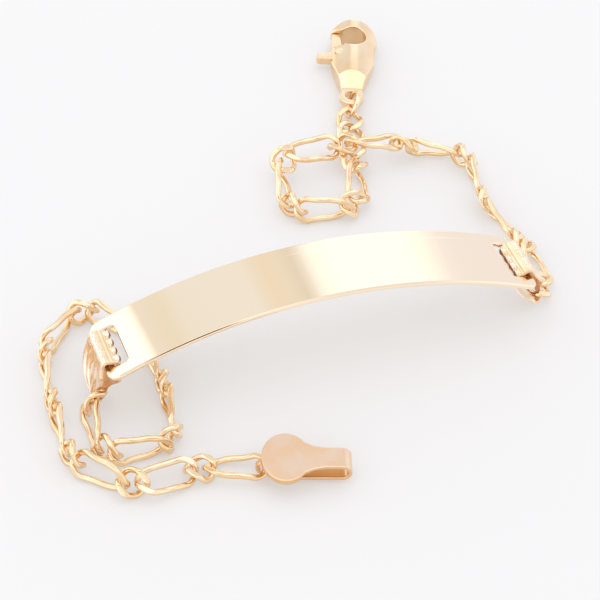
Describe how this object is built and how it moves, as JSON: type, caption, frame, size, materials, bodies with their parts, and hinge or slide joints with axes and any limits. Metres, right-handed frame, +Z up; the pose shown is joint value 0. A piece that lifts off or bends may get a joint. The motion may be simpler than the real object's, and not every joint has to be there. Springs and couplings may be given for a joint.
{
  "type": "identity bracelet",
  "caption": "Identity bracelet lying open: arched plain name plate, fluted bails, curb-type chain of short and long links, folded end tag and lobster clasp.",
  "frame": {"origin": "middle of the bracelet's outline on the surface that it lies on", "axes": "+X along the name plate towards the clasp's chain, +Y away from the viewer, +Z up from the surface"},
  "size_m": [0.0526, 0.0588, 0.0104],
  "materials": {
    "plate_gold": "mirror polish",
    "bail_gold": "polish",
    "link_gold": "polish",
    "tag_gold": "polish",
    "clasp_gold": "polish"
  },
  "bodies": {
    "bracelet": {"plate": "plate_gold", "left_bail": "bail_gold", "right_bail": "bail_gold", "left_link_01": "link_gold", "left_link_02": "link_gold", "left_link_03": "link_gold", "left_link_04": "link_gold", "left_link_05": "link_gold", "left_link_06": "link_gold", "left_link_07": "link_gold", "left_link_08": "link_gold", "left_link_09": "link_gold", "left_link_10": "link_gold", "left_link_11": "link_gold", "left_link_12": "link_gold", "left_link_13": "link_gold", "left_link_14": "link_gold", "left_link_15": "link_gold", "left_link_16": "link_gold", "left_link_17": "link_gold", "left_link_18": "link_gold", "left_link_19": "link_gold", "left_link_20": "link_gold", "left_link_21": "link_gold", "left_link_22": "link_gold", "right_link_01": "link_gold", "right_link_02": "link_gold", "right_link_03": "link_gold", "right_link_04": "link_gold", "right_link_05": "link_gold", "right_link_06": "link_gold", "right_link_07": "link_gold", "right_link_08": "link_gold", "right_link_09": "link_gold", "right_link_10": "link_gold", "right_link_11": "link_gold", "right_link_12": "link_gold", "right_link_13": "link_gold", "right_link_14": "link_gold", "right_link_15": "link_gold", "right_link_16": "link_gold", "right_link_17": "link_gold", "right_link_18": "link_gold", "right_link_19": "link_gold", "right_link_20": "link_gold", "right_link_21": "link_gold", "end_tag": "tag_gold", "clasp_ring": "clasp_gold", "clasp_body": "clasp_gold", "clasp_pin": "clasp_gold"},
    "trigger": {"clasp_trigger": "clasp_gold"}
  },
  "joints": [
    {"name": "trigger_hinge", "type": "hinge", "parent": "bracelet", "child": "trigger", "pos_m": [0.01623, 0.02506, 0.00125], "axis": [0, 0, -1], "range_deg": [0, 26], "stiffness_Nm_per_rad": 0.004}
  ]
}
